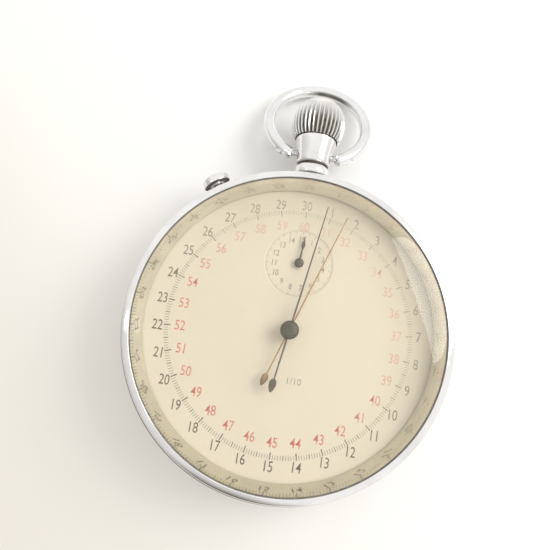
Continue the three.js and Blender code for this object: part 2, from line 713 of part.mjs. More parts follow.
add('second_wheel', trainWheel(
  SECOND,
  { teeth: SECOND_TEETH, angle: angleTo(SECOND, THIRD), low: 4.0 },
  { leaves: SECOND_LEAVES, angle: angleTo(SECOND, BARREL), low: 6.92 },
), 'brass');
add('third_wheel', trainWheel(
  THIRD,
  { teeth: THIRD_TEETH, angle: angleTo(THIRD, FOURTH), low: 6.0 },
  { leaves: THIRD_LEAVES, angle: angleTo(THIRD, SECOND), low: 3.92 },
), 'brass');
add('fourth_wheel', trainWheel(
  FOURTH,
  { teeth: FOURTH_TEETH, angle: angleTo(FOURTH, ESCAPE), low: 5.2 },
  { leaves: FOURTH_LEAVES, angle: angleTo(FOURTH, THIRD), low: 5.9 },
), 'brass');

// Escape wheel with hooked teeth.
const ESCAPE_TIP_R = 2.6;

function escapeWheel() {
  const shape = new THREE.Shape();
  for (let i = 0; i < ESCAPE_TEETH; i += 1) {
    const tooth = (i * 2 * Math.PI) / ESCAPE_TEETH;
    const pitch = (2 * Math.PI) / ESCAPE_TEETH;
    const points = [
      step(CENTRE, 1.9, tooth),
      step(CENTRE, ESCAPE_TIP_R, tooth + 0.45 * pitch),
      step(CENTRE, ESCAPE_TIP_R, tooth + 0.6 * pitch),
      step(CENTRE, 1.9, tooth + 0.55 * pitch),
    ];
    points.forEach((point, k) => {
      if (i === 0 && k === 0) shape.moveTo(point.x, point.y);
      else shape.lineTo(point.x, point.y);
    });
  }
  shape.closePath();
  const wheel = slab(shape, 6.5, 6.75).translate([ESCAPE.x, ESCAPE.y, 0]);
  const spindle = arbor(ESCAPE, [[PIVOT_R, PIVOT_LOW_Z], [0.45, 3.9], [PIVOT_R, 7.5],
    [PIVOT_R, PIVOT_HIGH_Z]], 8);
  const pinion = toothed(ESCAPE, ESCAPE_LEAVES, MODULE,
    spaceTowards(angleTo(ESCAPE, FOURTH), ESCAPE_LEAVES), 5.1, 5.6);
  return join(wheel, spindle, pinion);
}

// Pallet fork: two arms astride the escape wheel, a stem and a notch at the balance roller.
const PALLET_ARM = 2.0;

function palletFork() {
  const low = 6.45;
  const high = 6.8;
  const arms = [-1, 1].map((side) => {
    const elbow = step(PALLET, PALLET_ARM, ESCAPE_TO_BALANCE + Math.PI + side * deg(78));
    const stone = step(elbow, 0.35, ESCAPE_TO_BALANCE + Math.PI);
    return join(bar(PALLET, elbow, 0.45, low, high), bar(elbow, stone, 0.4, low, high));
  });
  const fork = step(PALLET, 4.9, ESCAPE_TO_BALANCE);
  const stem = bar(PALLET, fork, 0.4, low, high);
  const horns = [-1, 1].map((side) => bar(
    fork, step(fork, 0.6, ESCAPE_TO_BALANCE + side * deg(38)), 0.25, low, high,
  ));
  const spindle = arbor(PALLET, [[PIVOT_R, PIVOT_LOW_Z], [0.4, 3.9], [PIVOT_R, 7.5],
    [PIVOT_R, PIVOT_HIGH_Z]], 8);
  return join(spindle, stem, ...arms, ...horns);
}

function balanceWheel() {
  const rim = turnedRing([[4.4, 4.7], [5.1, 4.7], [5.1, 5.3], [4.4, 5.3]], 24)
    .translate([BALANCE.x, BALANCE.y, 0]);
  const arms = [0, 120, 240].map((turn) => bar(
    BALANCE, step(BALANCE, 4.6, deg(turn)), 0.5, 4.85, 5.15,
  ));
  const staff = arbor(BALANCE, [[PIVOT_R, PIVOT_LOW_Z], [0.5, 3.9], [0.8, 4.7], [0.45, 5.3],
    [0.9, 6.0], [0.35, 6.3], [PIVOT_R, 7.5], [PIVOT_R, PIVOT_HIGH_Z]], 10);
  return join(staff, rim, ...arms);
}

const hairspring = () => spiral(BALANCE, 0.8, 3.0, 5, 0.09, 4.1, 4.4, 12);

function regulator() {
  const low = 2.45;
  const high = BRIDGE_LOW_Z - 0.03;
  const ring = disc(BALANCE, 1.2, low, high, 16);
  const pointer = bar(BALANCE, step(BALANCE, 4.2, deg(160)), 0.4, low, high);
  return cut(join(ring, pointer), disc(BALANCE, 0.6, 0, 20, 12));
}

add('escape_wheel', escapeWheel(), 'steel');
add('pallet_fork', palletFork(), 'steel');
add('balance_wheel', balanceWheel(), 'brass');
add('hairspring', hairspring(), 'blueSteel');
add('regulator', regulator(), 'steel');

// ---------------------------------------------------------------- stopwatch work
// The sweep wheel turns on a hollow arbor; the split wheel's arbor runs through it.
function sweepWheel() {
  const tube = turnedRing([[0.36, 2.25], [0.6, 2.25], [0.6, 12.2], [0.36, 12.2]], 12);
  const wheel = toothed(CENTRE, 40, 0.2, 0, 2.6, 2.85);
  const cam = heart(CENTRE, 0.8, 1.35, 2.25, 2.62);
  const bore = disc(CENTRE, 0.5, 0, 20, 12);
  return join(cut(join(wheel, cam), bore), tube);
}

function splitWheel() {
  const spindle = arbor(CENTRE, [[0.25, 1.2], [0.3, 1.5], [0.3, 13.3]], 10);
  const wheel = toothed(CENTRE, 36, 0.155, 0, 1.5, 1.75);
  return join(spindle, wheel, heart(CENTRE, 0.8, 1.3, 1.74, 2.1));
}

function transferWheel() {
  const spindle = arbor(TRANSFER, [[PIVOT_R, 2.55], [PIVOT_R, 3.7]], 8);
  return join(spindle, toothed(TRANSFER, 15, 0.21, 0, 2.6, 2.85));
}

function minuteWheel() {
  const spindle = arbor(REGISTER, [[PIVOT_R, 2.2], [PIVOT_R, 11.3]], 10);
  const wheel = toothed(REGISTER, 30, 0.19, 0, 2.6, 2.85);
  return join(spindle, wheel, heart(REGISTER, 0.55, 0.95, 2.25, 2.62));
}

// Column wheel: ratchet teeth below, six upright columns above.
function columnWheel() {
  const base = toothed(COLUMN_WHEEL, 12, 0.3, 0, 2.45, 2.85);
  const core = arbor(COLUMN_WHEEL, [[0.35, 1.6], [0.35, 3.7]], 10);
  const columns = [];
  for (let i = 0; i < 6; i += 1) {
    const middle = deg(60 * i);
    const inner = step(COLUMN_WHEEL, 0.8, middle);
    const outer = step(COLUMN_WHEEL, 1.25, middle);
    columns.push(bar(inner, outer, 0.4, 1.5, 2.5));
  }
  return join(base, core, ...columns);
}

// Start-stop lever: a flat arm with an upright tab under the end of the push sleeve.
function operatingLever() {
  const arm = lever([at(8.6, 14.6), OPERATING_PIVOT, at(2.3, 21.0)], 1.0, 1.55, 2.05);
  const tab = block(1.9, 21.9, 3.575, 1.3, 0.6, 4.05);
  const link = block(1.9, 21.4, 1.8, 1.3, 1.4, 0.5);
  return join(arm, link, tab, disc(OPERATING_PIVOT, 0.35, 1.55, 3.7, 10));
}

function resetHammer() {
  const low = 2.2;
  const high = 2.52;
  return join(
    lever([HAMMER, at(5.6, 0.4), at(4.6, 11.0)], 0.8, low, high),
    bar(at(5.5, 0.4), at(2.3, 0.4), 0.7, low, high),
    bar(at(4.6, 10.9), at(2.6, 10.9), 0.7, low, high),
    disc(HAMMER, 0.35, low, 3.7, 10),
  );
}

// Split clamp: nose beside the split wheel's rim, tail towards 6 o'clock.
function splitClamp(side) {
  const low = 1.45;
  const high = 1.85;
  const pivot = at(side * CLAMP_X, CLAMP_Y);
  return join(
    lever([at(side * 3.62, 0.6), at(side * 5.0, -1.8), pivot], 0.7, low, high),
    bar(pivot, at(side * 1.0, -7.6), 0.7, low, high),
    disc(pivot, 0.35, low, 3.7, 10),
  );
}

// Split lever: an upright tab at the button's stem and a short tail past the pivot.
function splitLever() {
  const outward = (distance) => step(CENTRE, distance, Math.PI / 2 + BUTTON_TURN);
  const low = 1.45;
  const high = 1.95;
  const tabCentre = 21.95;
  const tab = block(0, tabCentre, (low + 6.6) / 2, 1.3, 0.5, 6.6 - low)
    .rotate([0, 0, THREE.MathUtils.radToDeg(BUTTON_TURN)]);
  return join(
    lever([at(-16.8, 3.4), SPLIT_LEVER_PIVOT, outward(21.4)], 1.0, low, high),
    tab,
    disc(SPLIT_LEVER_PIVOT, 0.35, low, 3.7, 10),
  );
}

// Jumper spring whose nose holds the minute wheel between two minutes.
function minuteJumper() {
  const foot = disc(at(-8.0, 15.6), 0.7, 2.5, BRIDGE_LOW_Z - 0.03, 10);
  return join(foot, bar(at(-8.0, 15.6), at(-2.75, 13.0), 0.35, 2.6, 2.85));
}

add('sweep_wheel', sweepWheel(), 'brass');
add('split_wheel', splitWheel(), 'brass');
add('transfer_wheel', transferWheel(), 'brass');
add('minute_wheel', minuteWheel(), 'brass');
add('column_wheel', columnWheel(), 'steel');
add('operating_lever', operatingLever(), 'steel');
add('reset_hammer', resetHammer(), 'steel');
add('split_clamp_left', splitClamp(-1), 'steel');
add('split_clamp_right', splitClamp(1), 'steel');
add('split_lever', splitLever(), 'steel');
add('minute_jumper', minuteJumper(), 'steel');

export default stopwatch;
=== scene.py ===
"""Split-seconds stopwatch: fine surfaces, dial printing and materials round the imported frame."""
import json
import math

import bmesh
import bpy
from mathutils import Euler, Matrix, Vector


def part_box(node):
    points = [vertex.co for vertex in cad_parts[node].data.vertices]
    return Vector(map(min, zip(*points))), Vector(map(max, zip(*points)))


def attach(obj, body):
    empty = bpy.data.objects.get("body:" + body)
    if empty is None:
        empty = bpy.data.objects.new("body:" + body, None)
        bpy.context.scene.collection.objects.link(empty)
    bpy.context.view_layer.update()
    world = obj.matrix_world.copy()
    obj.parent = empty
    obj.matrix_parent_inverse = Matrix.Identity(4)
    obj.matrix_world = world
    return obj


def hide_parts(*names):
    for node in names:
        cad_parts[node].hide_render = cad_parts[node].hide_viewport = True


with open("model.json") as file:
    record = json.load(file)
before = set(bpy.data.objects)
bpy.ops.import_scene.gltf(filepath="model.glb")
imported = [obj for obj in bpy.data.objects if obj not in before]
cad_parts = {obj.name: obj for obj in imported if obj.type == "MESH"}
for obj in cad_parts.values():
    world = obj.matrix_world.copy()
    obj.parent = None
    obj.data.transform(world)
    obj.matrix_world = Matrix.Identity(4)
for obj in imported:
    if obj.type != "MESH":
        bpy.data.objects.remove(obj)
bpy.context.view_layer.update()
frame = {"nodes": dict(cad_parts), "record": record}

# ------------------------------------------------------------------ sizes, in millimetres
MM = 0.001
TAU = 2 * math.pi


def node_box(name):
    """Low and high corners of a CAD node in millimetres."""
    low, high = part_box(name)
    return Vector(low) / MM, Vector(high) / MM


CASE_LOW, CASE_HIGH = node_box("case_band")
BEZEL_LOW, BEZEL_HIGH = node_box("bezel")
CRYSTAL_LOW, CRYSTAL_HIGH = node_box("crystal")
DIAL_HIGH = node_box("dial")[1]
CROWN_LOW, CROWN_HIGH = node_box("crown")

CASE_R = CASE_HIGH.x
CASE_INNER_R = 23.0
CASE_WIDEST_Z = 8.47
BEZEL_FOOT_R = 22.96
BEZEL_LIP_R = 24.4
SLOPE_TOP_R = 24.18
GROOVE_R = 24.65
GROOVE_LOW_Z = 13.5
GROOVE_HIGH_Z = 13.8
CROWN_FLUTES = 36
DIAL_Z = DIAL_HIGH.z
DIAL_R = DIAL_HIGH.x
STEM_Z = (CROWN_LOW.z + CROWN_HIGH.z) / 2
REGISTER_Y = 10.96
REGISTER_R = 5.6
REGISTER_SINK = 0.08
NECK_TUBE_R = 2.6
BUTTON_TUBE_R = 1.5
BUTTON_TURN = math.radians(34.2)
HOLE_GAP = 0.05
BOW_PIVOT_Y = 31.3
BOW_PIN_R = 0.5
BOW_RING_R = 8.96
BOW_WIRE_R = 1.08
BOW_END_X = 4.6
BOW_REACH = math.sqrt(BOW_RING_R**2 - BOW_END_X**2) + BOW_RING_R
BOW_LIFT = 0.05     # air between the table and the far end of the bow
BOW_DROOP = math.asin((STEM_Z - BOW_WIRE_R - BOW_LIFT) / BOW_REACH)
NUMERAL_R = 20.7
RED_NUMERAL_R = 17.15
TICK_OUTER_R = 19.7
INK_THICK = 0.012
INK_SUNK = 0.001    # how far printed marks reach into the paint

ROUND = 192         # segments round the case
ROUND_SMALL = 72    # segments round the neck, button and hubs
SHARP_ANGLE = 32.0  # degrees; edges sharper than this stay sharp
WELD_REACH = 0.002  # points this close are joined after a cut


# ------------------------------------------------------------------ mesh helpers
def link(obj):
    """Puts an object into the scene."""
    bpy.context.scene.collection.objects.link(obj)
    return obj


def mesh_object(name, verts, faces, material, sharp=SHARP_ANGLE):
    """A smooth-shaded object from points in millimetres, with edges sharper than an angle kept."""
    mesh = bpy.data.meshes.new(name)
    mesh.from_pydata([Vector(v) * MM for v in verts], [], faces)
    mesh.validate()
    tidy = bmesh.new()
    tidy.from_mesh(mesh)
    bmesh.ops.remove_doubles(tidy, verts=tidy.verts, dist=1e-7)
    bmesh.ops.recalc_face_normals(tidy, faces=tidy.faces)
    tidy.to_mesh(mesh)
    tidy.free()
    shade(mesh, sharp)
    mesh.materials.append(material)
    return link(bpy.data.objects.new(name, mesh))


def shade(mesh, sharp):
    """Smooth shading that keeps edges sharper than an angle in degrees."""
    mesh.polygons.foreach_set("use_smooth", [True] * len(mesh.polygons))
    mesh.set_sharp_from_angle(angle=math.radians(sharp))


def revolve(profile, segments, closed=False):
    """Points and faces of a profile of (radius, height) turned about +Z."""
    verts = []
    faces = []
    count = len(profile)
    for i in range(segments):
        angle = TAU * i / segments
        for radius, height in profile:
            verts.append((radius * math.cos(angle), radius * math.sin(angle), height))
    spans = count if closed else count - 1
    for i in range(segments):
        here = i * count
        there = ((i + 1) % segments) * count
        for k in range(spans):
            n = (k + 1) % count
            faces.append((here + k, there + k, there + n, here + n))
    return verts, faces


def bezier(p0, p1, p2, p3, steps):
    """Points of a cubic curve, without its first point."""
    points = []
    for i in range(1, steps + 1):
        t = i / steps
        s = 1 - t
        weights = (s**3, 3 * s * s * t, 3 * s * t * t, t**3)
        points.append(tuple(
            sum(w * p[axis] for w, p in zip(weights, (p0, p1, p2, p3))) for axis in (0, 1)
        ))
    return points


def rounded(corners, radius, steps=4, closed=False):
    """A polyline with its corners rounded by short arcs."""
    points = []
    count = len(corners)
    for i, corner in enumerate(corners):
        if not closed and i in (0, count - 1):
            points.append(corner)
            continue
        here = Vector(corner)
        before = Vector(corners[i - 1]) - here
        after = Vector(corners[(i + 1) % count]) - here
        reach = min(radius, 0.45 * before.length, 0.45 * after.length)
        start = here + before.normalized() * reach
        end = here + after.normalized() * reach
        for k in range(steps + 1):
            t = k / steps
            mixed = start.lerp(here, t).lerp(here.lerp(end, t), t)
            points.append((mixed.x, mixed.y))
    return points


def outward(turn):
    """Matrix that lays a body made along +Z in the stem's plane, turned left of 12 o'clock."""
    return (
        Matrix.Translation((0, 0, STEM_Z * MM))
        @ Matrix.Rotation(turn, 4, "Z")
        @ Matrix.Rotation(-math.pi / 2, 4, "X")
    )


def cut_away(obj, *cutters):
    """Cuts closed objects out of a piece and leaves a plain mesh."""
    for cutter in cutters:
        modifier = obj.modifiers.new("cut", "BOOLEAN")
        modifier.operation = "DIFFERENCE"
        modifier.solver = "EXACT"
        modifier.object = cutter
    bpy.context.view_layer.update()
    evaluated = obj.evaluated_get(bpy.context.evaluated_depsgraph_get())
    mesh = bpy.data.meshes.new_from_object(evaluated)
    obj.modifiers.clear()
    old = obj.data
    obj.data = mesh
    bpy.data.meshes.remove(old)
    for cutter in cutters:
        bpy.data.objects.remove(cutter)
    weld(mesh, WELD_REACH * MM)
    shade(mesh, SHARP_ANGLE)


def weld(mesh, reach):
    """Joins points closer than a reach and dissolves the slivers that a cut leaves."""
    tidy = bmesh.new()
    tidy.from_mesh(mesh)
    bmesh.ops.remove_doubles(tidy, verts=tidy.verts, dist=reach)
    bmesh.ops.dissolve_degenerate(tidy, edges=tidy.edges, dist=reach)
    bmesh.ops.triangulate(tidy, faces=[face for face in tidy.faces if len(face.verts) > 4])
    tidy.to_mesh(mesh)
    tidy.free()


def rod(centre, radius, low, high, segments=48):
    """A plain closed cylinder along +Z, used only to cut holes."""
    profile = [(0, low), (radius, low), (radius, high), (0, high)]
    verts, faces = revolve(profile, segments)
    obj = mesh_object("cutter", verts, faces, STEEL)
    obj.matrix_world = Matrix.Translation(Vector(centre) * MM)
    return obj


def bake_place(obj, matrix):
    """Moves a piece by moving its mesh, so that its object stays at the origin."""
    obj.data.transform(matrix)
    obj.data.update()
    return obj


def paint_grime(obj, amount):
    """Stores how much dark tone sits at each point: old soiling on some pieces, painted shade and
    dark reflection on others; amount is a function of the point in mm.
    """
    layer = obj.data.attributes.new("grime_and_shade", "FLOAT", "POINT")
    for vertex, value in zip(obj.data.vertices, layer.data):
        value.value = amount(vertex.co / MM)
    return obj


def second_material(obj, material, wanted):
    """Gives a second material to the faces whose centre, in mm, passes a test."""
    obj.data.materials.append(material)
    for face in obj.data.polygons:
        if wanted(face.center / MM):
            face.material_index = 1
    return obj


def fade(value, start, end):
    """0 up to start, 1 from end on, straight between."""
    return min(1.0, max(0.0, (value - start) / (end - start)))


# ------------------------------------------------------------------ materials
def new_material(name):
    """A material with its node tree and its main shader."""
    material = bpy.data.materials.new(name)
    material.use_nodes = True
    tree = material.node_tree
    return material, tree, tree.nodes["Principled BSDF"]


def add_node(tree, kind, **values):
    """A new node with its settings."""
    node = tree.nodes.new(kind)
    for key, value in values.items():
        setattr(node, key, value)
    return node


def noise(tree, scale, detail=3.0, stretch=(1, 1, 1)):
    """Noise in the object's own coordinates; scale is per metre."""
    coords = add_node(tree, "ShaderNodeTexCoord")
    mapping = add_node(tree, "ShaderNodeMapping")
    mapping.inputs["Scale"].default_value = stretch
    texture = add_node(tree, "ShaderNodeTexNoise")
    texture.inputs["Scale"].default_value = scale
    texture.inputs["Detail"].default_value = detail
    tree.links.new(coords.outputs["Object"], mapping.inputs["Vector"])
    tree.links.new(mapping.outputs["Vector"], texture.inputs["Vector"])
    return texture.outputs["Fac"]


def ramp(tree, source, stops):
    """Colour ramp through (position, colour) stops; a colour is three numbers."""
    node = add_node(tree, "ShaderNodeValToRGB")
    elements = node.color_ramp.elements
    while len(elements) < len(stops):
        elements.new(0.5)
    for element, (position, colour) in zip(elements, stops):
        element.position = position
        element.color = (*colour, 1)
    tree.links.new(source, node.inputs["Fac"])
    return node.outputs["Color"]


def sector(tree, turn, start, end):
    """0 to 1 across the dial towards a clock direction in degrees, from start to end in mm."""
    coords = add_node(tree, "ShaderNodeTexCoord")
    dot = add_node(tree, "ShaderNodeVectorMath", operation="DOT_PRODUCT")
    angle = math.radians(turn)
    dot.inputs[1].default_value = (math.sin(angle), math.cos(angle), 0)
    tree.links.new(coords.outputs["Object"], dot.inputs[0])
    return spread(tree, dot.outputs["Value"], start, end)


def from_middle(tree):
    """Distance from the object's origin."""
    coords = add_node(tree, "ShaderNodeTexCoord")
    length = add_node(tree, "ShaderNodeVectorMath", operation="LENGTH")
    tree.links.new(coords.outputs["Object"], length.inputs[0])
    return length.outputs["Value"]


def spread(tree, value, start, end):
    """Maps a length from start..end in mm to a clamped 0..1."""
    node = add_node(tree, "ShaderNodeMapRange", interpolation_type="SMOOTHSTEP")
    node.inputs["From Min"].default_value = start * MM
    node.inputs["From Max"].default_value = end * MM
    tree.links.new(value, node.inputs["Value"])
    return node.outputs["Result"]


def times(tree, first, second):
    """Product of two values, each a number or an output, kept within 0..1."""
    node = add_node(tree, "ShaderNodeMath", operation="MULTIPLY", use_clamp=True)
    for socket, value in zip(node.inputs, (first, second)):
        if isinstance(value, float):
            socket.default_value = value
        else:
            tree.links.new(value, socket)
    return node.outputs["Value"]


def grey(value):
    """A colour without hue."""
    return (value, value, value)


def bump(tree, shader, height, strength, distance):
    """Fine relief of a surface; distance is in metres."""
    node = add_node(tree, "ShaderNodeBump")
    node.inputs["Strength"].default_value = strength
    node.inputs["Distance"].default_value = distance
    tree.links.new(height, node.inputs["Height"])
    tree.links.new(node.outputs["Normal"], shader.inputs["Normal"])


def multiply_colours(tree, first, second):
    """Product of two colour outputs."""
    mix = add_node(tree, "ShaderNodeMix", data_type="RGBA", blend_type="MULTIPLY")
    mix.inputs[0].default_value = 1.0
    tree.links.new(first, mix.inputs[6])
    tree.links.new(second, mix.inputs[7])
    return mix.outputs[2]


def blend_colours(tree, share, first, second):
    """Mixes two colour outputs by a value output."""
    mix = add_node(tree, "ShaderNodeMix", data_type="RGBA")
    tree.links.new(share, mix.inputs[0])
    tree.links.new(first, mix.inputs[6])
    tree.links.new(second, mix.inputs[7])
    return mix.outputs[2]


def metal(name, colour, rough_low, rough_high, effect_strength=0.5, dull=0.9, painted_reflection_colour=None):
    """Polished metal with cloudy handling marks, hairlines, and a dark olive tone where its point
    attribute is painted: old soiling on some pieces, painted shade and dark reflection on others.

    The optional last colour is painted over the half towards 12 o'clock, as a painted reflection.
    """
    material, tree, shader = new_material(name)
    clouds = noise(tree, 220, 4)

    def cloudy(full):
        low = tuple(c * dull for c in full)
        return ramp(tree, clouds, [(0.35, low), (0.65, full)])

    clean = cloudy(colour)
    # Painted reflection: a lighter colour over the half towards 12 o'clock.
    if painted_reflection_colour:
        clean = blend_colours(tree, sector(tree, 0, -20, 6), clean, cloudy(painted_reflection_colour))
    marks = noise(tree, 900, 5, (1, 1, 3))
    polish = ramp(tree, marks, [(0.3, grey(rough_low)), (0.75, grey(rough_high))])
    # Dark olive tone for the painted point attribute: old soiling in some places, painted shade and
    # dark reflection in seams, grooves and undersides.
    dirt = ramp(tree, noise(tree, 1300, 4), [
        (0.35, (0.020, 0.017, 0.009)), (0.65, (0.115, 0.095, 0.055)),
    ])
    dusty = ramp(tree, clouds, [(0.3, grey(0.45)), (0.7, grey(0.6))])
    grime_and_shade = add_node(tree, "ShaderNodeAttribute", attribute_name="grime_and_shade").outputs["Fac"]
    tree.links.new(blend_colours(tree, grime_and_shade, clean, dirt), shader.inputs["Base Color"])
    tree.links.new(blend_colours(tree, grime_and_shade, polish, dusty), shader.inputs["Roughness"])
    bare = add_node(tree, "ShaderNodeMath", operation="SUBTRACT", use_clamp=True)
    bare.inputs[0].default_value = 1.0
    tree.links.new(times(tree, grime_and_shade, 0.8), bare.inputs[1])
    tree.links.new(bare.outputs["Value"], shader.inputs["Metallic"])
    hairlines = noise(tree, 2600, 2, (1, 0.12, 1))
    bump(tree, shader, hairlines, 0.12 * effect_strength, 0.00002)
    return material


def crystal_material():
    """Aged clear acrylic with fine scratches; lamps shine straight through it."""
    material, tree, shader = new_material("aged_acrylic")
    yellowed = (0.99, 0.975, 0.94, 1)
    shader.inputs["Base Color"].default_value = yellowed
    shader.inputs["Transmission Weight"].default_value = 1.0
    shader.inputs["IOR"].default_value = 1.49
    scratches = noise(tree, 1500, 4, (1, 0.08, 1))
    tree.links.new(ramp(tree, scratches, [(0.4, grey(0.02)), (0.9, grey(0.07))]),
                   shader.inputs["Roughness"])
    clear = add_node(tree, "ShaderNodeBsdfTransparent")
    clear.inputs["Color"].default_value = yellowed
    path = add_node(tree, "ShaderNodeLightPath")
    mix = add_node(tree, "ShaderNodeMixShader")
    output = tree.nodes["Material Output"]
    tree.links.new(path.outputs["Is Shadow Ray"], mix.inputs["Fac"])
    tree.links.new(shader.outputs["BSDF"], mix.inputs[1])
    tree.links.new(clear.outputs["BSDF"], mix.inputs[2])
    tree.links.new(mix.outputs["Shader"], output.inputs["Surface"])
    return material


def dial_material():
    """Cream dial paint, unevenly aged and faintly speckled, with painted shade greying it near the
    rim towards one o'clock.
    """
    material, tree, shader = new_material("cream_dial_paint")
    clouds = noise(tree, 70, 4)
    base = ramp(tree, clouds, [(0.3, (0.705, 0.645, 0.53)), (0.7, (0.735, 0.675, 0.56))])
    # Painted shade: greyer near the rim towards one o'clock, where the bezel shades the dial.
    rim = spread(tree, from_middle(tree), 17, 25)
    painted_shade_share = times(tree, times(tree, rim, sector(tree, 35, -4, 14)), 0.65)
    blotches = noise(tree, 160, 3)
    painted_shade_colour = ramp(tree, blotches, [(0.3, (0.58, 0.53, 0.41)), (0.7, (0.64, 0.59, 0.47))])
    toned = blend_colours(tree, painted_shade_share, base, painted_shade_colour)
    specks = ramp(tree, noise(tree, 900, 2), [(0.74, grey(1.0)), (0.80, grey(0.86))])
    tree.links.new(multiply_colours(tree, toned, specks), shader.inputs["Base Color"])
    grain = noise(tree, 5000, 2)
    tree.links.new(ramp(tree, grain, [(0.3, grey(0.5)), (0.7, grey(0.62))]),
                   shader.inputs["Roughness"])
    bump(tree, shader, grain, 0.15, 0.00001)
    return material


def ink(name, colour, patchy, hazed, effect_strength=0.96):
    """Printing ink, patchy, with painted haze fading it paler towards one o'clock."""
    material, tree, shader = new_material(name)
    patches = ramp(tree, noise(tree, 1400, 3), [(0.35, colour), (0.75, patchy)])
    # Painted haze: the print fades to its paler colour towards one o'clock.
    share = times(tree, sector(tree, 32, -15, 16), effect_strength)
    hazed_patches = ramp(tree, noise(tree, 1100, 3), [(0.35, hazed), (0.9, patchy)])
    tree.links.new(blend_colours(tree, share, patches, hazed_patches), shader.inputs["Base Color"])
    shader.inputs["Roughness"].default_value = 0.6
    return material


# The slope's lighter colour over the half towards 12 o'clock is a painted reflection.
SLOPE_NICKEL = metal("bezel_slope_nickel", (0.71, 0.69, 0.61), 0.07, 0.12, effect_strength=0.2,
                     painted_reflection_colour=(0.86, 0.85, 0.79))
STEEL = metal("polished_steel", (0.62, 0.62, 0.62), 0.18, 0.32)
CHROME = metal("case_chrome", (0.90, 0.885, 0.875), 0.05, 0.14)
CROWN_CHROME = metal("crown_chrome", (0.86, 0.85, 0.82), 0.08, 0.18)
BOW_CHROME = metal("bow_chrome", (0.88, 0.88, 0.88), 0.05, 0.13)
NICKEL = metal("grained_nickel", (0.70, 0.69, 0.66), 0.25, 0.40)
BRASS = metal("gilt_brass", (0.75, 0.56, 0.26), 0.22, 0.36)
BLUED = metal("blued_steel", (0.07, 0.11, 0.26), 0.20, 0.32)
DARK_HAND = metal("dark_hand_steel", (0.20, 0.18, 0.14), 0.26, 0.42, dull=0.6)
GILT_HAND = metal("gilt_hand", (0.55, 0.36, 0.18), 0.20, 0.34, dull=0.8)
CRYSTAL = crystal_material()
DIAL = dial_material()
# The last colour of each ink is its paler tone under the painted haze towards one o'clock.
BLACK_INK = ink("black_ink", (0.095, 0.075, 0.042), (0.21, 0.175, 0.115), (0.50, 0.455, 0.35))
TRACK_INK = ink("track_ink", (0.14, 0.12, 0.08), (0.32, 0.28, 0.20), (0.52, 0.47, 0.37))
RED_INK = ink("red_ink", (0.60, 0.13, 0.10), (0.70, 0.33, 0.25), (0.70, 0.56, 0.45))
GREY_INK = ink("grey_ink", (0.26, 0.24, 0.19), (0.40, 0.37, 0.30), (0.52, 0.48, 0.40))

SLOT_MATERIAL = {
    "case_chrome": CHROME,
    "crown_chrome": CROWN_CHROME,
    "bow_chrome": BOW_CHROME,
    "acrylic": CRYSTAL,
    "dial_paint": DIAL,
    "dark_hand": DARK_HAND,
    "gilt_hand": GILT_HAND,
    "nickel_plate": NICKEL,
    "movement_brass": BRASS,
    "steel": STEEL,
    "blued_steel": BLUED,
}


def finish_cad_nodes():
    """Gives every CAD node the material of its slot in the record."""
    slots = {part["node"]: part["material_slot"] for part in frame["record"]["subparts"]}
    for name, obj in frame["nodes"].items():
        obj.data.materials.clear()
        obj.data.materials.append(SLOT_MATERIAL[slots[name]])


# ------------------------------------------------------------------ case
def case_band():
    """Middle case: a full curve from the back's seam to the shoulder under the bezel."""
    top = CASE_HIGH.z
    low = CASE_LOW.z
    profile = [(CASE_INNER_R, low + 0.1), (CASE_INNER_R + 0.1, low), (25.1, low)]
    profile += bezier((25.1, low), (25.25, low), (25.35, low + 0.05), (25.4, low + 0.15), 3)
    profile += bezier(profile[-1], (26.5, 3.9), (CASE_R, 6.0), (CASE_R, CASE_WIDEST_Z), 18)
    profile += bezier(profile[-1], (CASE_R, 9.2), (26.75, 10.0), (26.35, top - 0.06), 12)
    profile += [(26.28, top), (23.5, top), (23.5, 10.0), (CASE_INNER_R, 10.0)]
    verts, faces = revolve(profile, ROUND, closed=True)
    obj = mesh_object("case_band_fine", verts, faces, CHROME)
    # Painted shade: a dark band along the top of the case band, at its seam with the bezel.
    paint_grime(obj, lambda point: fade(point.z, 10.05, 10.25))
    stem_hole = rod((0, 0, 0), NECK_TUBE_R + HOLE_GAP, 20, 30)
    bake_place(stem_hole, outward(0))
    button_hole = rod((0, 0, 0), BUTTON_TUBE_R + HOLE_GAP, 20, 30)
    bake_place(button_hole, outward(BUTTON_TURN))
    cut_away(obj, stem_hole, button_hole)
    return obj


